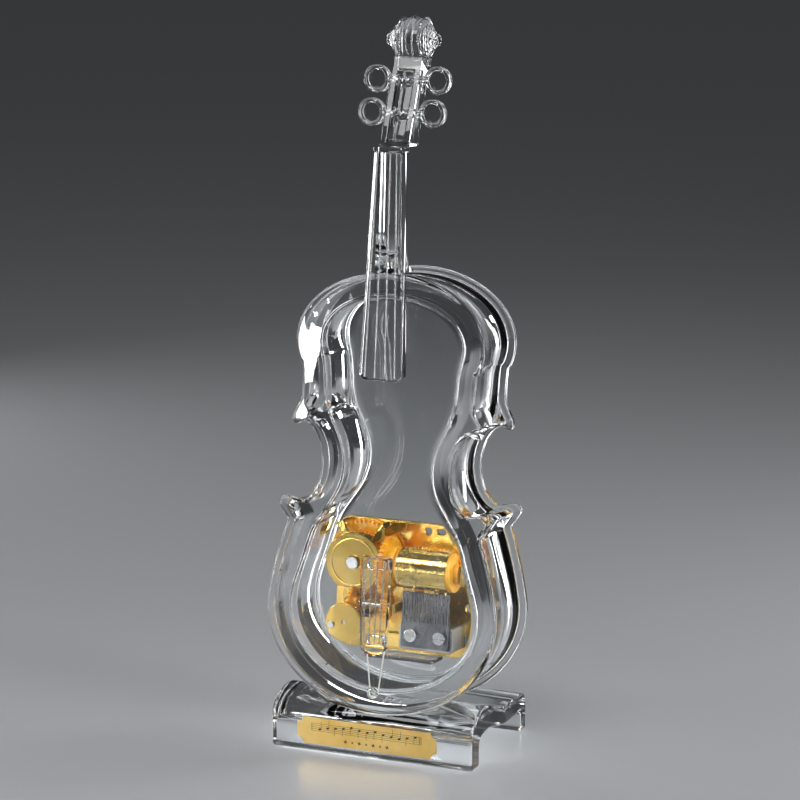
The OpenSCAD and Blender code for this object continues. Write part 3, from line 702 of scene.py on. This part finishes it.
def side_height(r, swept):
    """Half width of the scroll: each turn is dished and steps up to the next."""
    t = turn_number(max(r, 0.3))
    if t >= TURNS:
        return RIM_HALF + RISE * TURNS + 0.35
    t = max(t - swept, 0.0)
    k, f = math.floor(t), t - math.floor(t)
    wall = min(max((f - 0.78) / 0.22, 0.0), 1.0)
    step = wall * wall * (3 - 2 * wall)
    dish = 0.4 * math.sin(math.pi * min(f / 0.78, 1.0))
    return min(RIM_HALF + RISE * (k + swept + step - dish), RIM_HALF + RISE * TURNS + 0.3)


def scroll_meridian(swept):
    """Section from the left eye, round the fluted rim, to the right eye: (x, radius)."""
    rim = SCROLL_R * FIRST_TURN ** swept
    side = [(side_height(rim * u, swept), rim * u) for u in (0.02 + 0.93 * i / 72 for i in range(73))]
    half = side_height(rim, swept)
    flute = [(half * math.cos(a), rim - 0.8 * abs(math.sin(2 * a)) ** 1.2)
             for a in (math.pi * i / 24 for i in range(1, 24))]
    return [(-x, r) for x, r in side] + [(-x, r) for x, r in flute] + side[::-1]


def build_scroll():
    """Volute whose turns step outwards to the eye on both sides."""
    steps, sections = 132, []
    for k in range(steps):
        swept = k / steps
        a = SEAM + swept * math.tau
        sections.append([place(x, EYE_Y + r * math.cos(a), EYE_Z + r * math.sin(a))
                         for x, r in scroll_meridian(swept)])
    n = len(sections[0])
    verts = [p for ring in sections for p in ring]
    faces = []
    for r in range(steps):
        after = (r + 1) % steps
        faces += [(r * n + i, r * n + i + 1, after * n + i + 1, after * n + i) for i in range(n - 1)]
    faces.append(tuple(r * n for r in range(steps)))
    faces.append(tuple(r * n + n - 1 for r in range(steps)))
    obj = new_object("scroll_volute", verts, faces)
    sharpen(obj, 60)
    return attach(obj, CLEAR_FINE, replaced=["scroll"])


# Each peg's side, and its height as a share of the pegbox.
PEGS = {"peg_upper_left": (-1, 0.755), "peg_upper_right": (1, 0.765),
        "peg_lower_left": (-1, 0.375), "peg_lower_right": (1, 0.39)}


def build_peg(node, side, share):
    """Solid round head with a raised rim, and a stem from the pegbox's middle out to it."""
    z = NUT_Z + PEGBOX_L * share
    y = head_y(z) + 2.5
    r = PEG_D / 2
    disc = rounded([(0, -1.15), (r * 0.72, -1.15), (r * 0.82, -1.5), (r, -1.3), (r, 1.3),
                    (r * 0.82, 1.5), (r * 0.72, 1.15), (0, 1.15)], 0.6, 6)
    head = lathe(node + "_head", disc, place(side * (PEG_REACH + r - 0.6), y, z), OUT, ACROSS, 64)
    attach(head, CLEAR_FINE, replaced=[node])
    stem = rounded([(0, 0.3), (1.0, 0.3), (1.05, 5.05), (1.2, 5.2), (1.05, 5.7),
                    (1.3, PEG_REACH + 0.2), (0, PEG_REACH + 0.3)], 0.25, 3)
    shaft = lathe(node + "_stem", stem, place(0, y, z), ACROSS * side, OUT, 32)
    attach(shaft, CLEAR_FINE)


build_neck()
build_heel_block()
build_scroll()
for peg_node, (peg_side, peg_share) in PEGS.items():
    build_peg(peg_node, peg_side, peg_share)


def build_button():
    """End button that holds the tail loop."""
    knob = rounded([(0, -3.5), (1.6, -3.5), (2.0, -3.0), (1.7, -2.55), (1.0, -2.45), (1.0, 0), (0, 0)],
                   0.2, 3)
    obj = lathe("end_button_clear", [(r, -h) for r, h in knob], place(0, 0, BUTTON_Z), OUT, ACROSS, 40)
    return attach(obj, CLEAR_FINE, replaced=["end_button"])


build_button()


# ---------------------------------------------------------------- label plate
def label_point(x, z, proud):
    """Point on the label plate, x and z mm from its middle and proud mm in front of its face."""
    low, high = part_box("label_plate")
    return Vector(((low[0] + high[0]) / 2 + x * MM, low[1] - proud * MM,
                   (low[2] + high[2]) / 2 + z * MM))


def label_strip(points_list, depth=0.025, sunk=0.01):
    """Closed thin slabs on the label's face, one for each outline."""
    parts = []
    for points in points_list:
        flat, tris = fill(points)
        n, m = len(points), len(flat)
        verts = [label_point(*p, proud) for proud in (depth, -sunk) for p in flat]
        faces = list(tris) + [tuple(m + i for i in f) for f in tris]
        faces += [(i, (i + 1) % n, m + (i + 1) % n, m + i) for i in range(n)]
        parts.append((verts, faces))
    return join_parts(parts)


def bar(x0, x1, z, t):
    """Straight line of thickness t."""
    return [(x0, z - t / 2), (x1, z - t / 2), (x1, z + t / 2), (x0, z + t / 2)]


def note(x, z, up):
    """A filled note head, leaning, and its stem."""
    long, short, lean_cos, lean_sin = 0.52, 0.36, 0.94, 0.34
    head = [(x + long * math.cos(a) * lean_cos - short * math.sin(a) * lean_sin,
             z + long * math.cos(a) * lean_sin + short * math.sin(a) * lean_cos)
            for a in (math.tau * i / 20 for i in range(20))]
    side = 0.44 if up else -0.44
    tall = 2.5 if up else -2.5
    x0, x1 = x + side - 0.06, x + side + 0.06
    return [head, [(x0, z), (x1, z), (x1, z + tall), (x0, z + tall)]]


def star(x, z, r, waist=0.4):
    """Four-pointed ornament."""
    radii = (r * (1 if k % 2 else waist) for k in range(8))
    return [(x + q * math.cos(a), z + q * math.sin(a))
            for q, a in zip(radii, (math.tau * k / 8 + math.pi / 8 for k in range(8)))]


def build_label():
    """Engraved staff with a short tune, over a second row of small ornaments."""
    gap, half, row = 0.62, 19.0, 1.35
    shapes = [bar(-half, half, row + (i - 2) * gap, 0.09) for i in range(5)]
    tune = [-2, 0, 1, 2, 4, 2, 1, 3, 1, 0, -1, 1, 3]
    for i, step in enumerate(tune):
        shapes += note(-half + 2.9 + i * 2.75, row + step * gap / 2, step < 1)
    shapes += [bar(x - 0.07, x + 0.07, row, 4 * gap) for x in (-half + 0.07, half - 0.07, half - 0.6)]
    for i in range(7):
        shapes.append(star((i - 3) * 2.4, -2.35, 0.5 if i % 2 else 0.75))
    obj = new_object("label_engraving", *label_strip(shapes), smooth=False)
    return attach(obj, INK)


build_label()


# ---------------------------------------------------------------- CAD nodes that keep their shape
def dress(node, material, edge=0.0, segments=2, angle=35):
    """Gives a CAD node its material, and rounded edges if edge is set."""
    obj = frame["nodes"][node]
    obj.data.materials.clear()
    obj.data.materials.append(material)
    if edge:
        bevel(obj, edge, segments, angle)
    return obj


def swell(obj, width):
    """Thickens a piece by width mm all round, so that tiny pins show."""
    weld = obj.modifiers.new("weld", "WELD")
    weld.merge_threshold = WELD_DIST
    grow = obj.modifiers.new("swell", "DISPLACE")
    grow.strength = width * MM
    grow.mid_level = 0.0


for node in ("fingerboard", "nut", "tailpiece", "pegbox"):
    dress(node, CLEAR_FINE, 0.55, 3, 50)
dress("label_plate", LABEL_GOLD, 0.12)
for i in range(1, 5):
    dress(f"board_string_{i}", STRING)
    dress(f"tail_string_{i}", STRING)
dress("tail_loop", CORD)
dress("bedplate", BED_GOLD, 0.3, 3, 50)
for node in ("left_bearing", "right_bearing", "governor_frame", "governor_cap",
             "wheel_post_left", "wheel_post_right"):
    dress(node, GOLD, 0.15, 2, 50)
dress("spring_housing", GOLD, 0.4, 3, 60)
dress("winding_key", GOLD)
dress("cylinder_sleeve", CYLINDER_BRASS)
swell(dress("tune_pins", PIN_BRASS), 0.09)
dress("mainspring", SPRING_STEEL)
dress("comb", COMB_STEEL)
dress("comb_base", ZINC, 0.3)
for node in ("comb_screw_left", "comb_screw_right", "governor_screw", "case_screw_left",
             "case_screw_right", "case_screw_top", "arbor", "cylinder_axle", "governor_axle"):
    dress(node, STEEL, 0.12, 2, 60)
dress("worm_shaft", STEEL)
for node in ("main_wheel", "cylinder_gear", "cylinder_cap", "governor_pinion", "governor_wheel"):
    dress(node, AMBER)
dress("fly", DARK, 0.1)


def build_housing_ring():
    """Pressed ring that runs round the face of the spring housing."""
    inner, outer, proud = 7.35, 7.85, 0.16
    ring = rounded([(inner, -TOUCH), (inner, proud), (outer, proud), (outer, -TOUCH)], 0.08, 3)
    obj = lathe_ring("housing_ring", ring, place(DRUM_X, HOUSING_FACE, AXLE_Z), OUT, ACROSS, 96)
    sharpen(obj, 50)
    return attach(obj, GOLD)


build_housing_ring()

# ---------------------------------------------------------------- stage, light and camera
def build_floor(reach=6, albedo=(0.52, 0.53, 0.55), roughness=0.22):
    """Plain pale floor."""
    mesh = bpy.data.meshes.new("floor")
    corners = [(-reach, -reach, 0), (reach, -reach, 0), (reach, reach, 0), (-reach, reach, 0)]
    mesh.from_pydata(corners, [], [(0, 1, 2, 3)])
    floor = bpy.data.objects.new("floor", mesh)
    bpy.context.scene.collection.objects.link(floor)
    mat, _, shader = nodes_of("studio_floor")
    shader.inputs["Base Color"].default_value = (*albedo, 1)
    shader.inputs["Roughness"].default_value = roughness
    mesh.materials.append(mat)


def area(name, at, aim, size, power, tall=None):
    """Area lamp at a place, turned to its aim; power in watts, size and tall in metres."""
    data = bpy.data.lights.new(name, "AREA")
    data.energy = power
    data.size = size
    if tall:
        data.shape = "RECTANGLE"
        data.size_y = tall
    lamp = bpy.data.objects.new(name, data)
    lamp.location = at
    lamp.rotation_euler = (Vector(aim) - Vector(at)).to_track_quat("-Z", "Y").to_euler()
    bpy.context.scene.collection.objects.link(lamp)


build_floor()
HEART = (0, 0, 0.1)
area("overhead", (-0.12, -0.4, 0.62), HEART, 0.42, 2.4, tall=0.2)
area("front_left", (-0.5, -0.34, 0.2), HEART, 0.06, 1.0, tall=0.5)
area("front_right", (0.6, -0.1, 0.2), HEART, 0.09, 1.9, tall=0.55)
area("left_rim", (-0.46, 0.3, 0.24), HEART, 0.05, 0.6, tall=0.5)
area("right_rim", (0.42, 0.32, 0.22), HEART, 0.06, 1.8, tall=0.5)
area("movement_fill", (-0.3, -0.55, 0.1), (0, 0, 0.06), 0.07, 0.8)


def build_world(colour=(0.8, 0.83, 0.87), strength=0.07):
    """Dim even surroundings."""
    world = bpy.data.worlds.new("studio")
    bpy.context.scene.world = world
    world.use_nodes = True
    background = world.node_tree.nodes["Background"]
    background.inputs["Color"].default_value = (*colour, 1)
    background.inputs["Strength"].default_value = strength


def build_camera():
    """Camera fitted to the stand's corners and the violin's edges in the photograph."""
    data = bpy.data.cameras.new("camera")
    data.lens, data.sensor_width, data.clip_end = 148.6, 36, 20
    camera = bpy.data.objects.new("camera", data)
    bpy.context.scene.collection.objects.link(camera)
    bpy.context.scene.camera = camera
    front_y = STAND_LOW[1]
    camera.location = (0.39568, front_y - 0.91832, 0.34685)
    aim = Vector((0.00307, front_y + 0.01704, 0.11414))
    camera.rotation_euler = (aim - camera.location).to_track_quat("-Z", "Y").to_euler()


build_world()
build_camera()

scene = bpy.context.scene
scene.view_settings.view_transform = "Standard"
scene.view_settings.exposure = -0.25
BOUNCES = 24            # many clear surfaces lie one behind another
scene.cycles.max_bounces = BOUNCES
scene.cycles.transmission_bounces = BOUNCES
scene.cycles.transparent_max_bounces = BOUNCES
scene.cycles.use_denoising = True
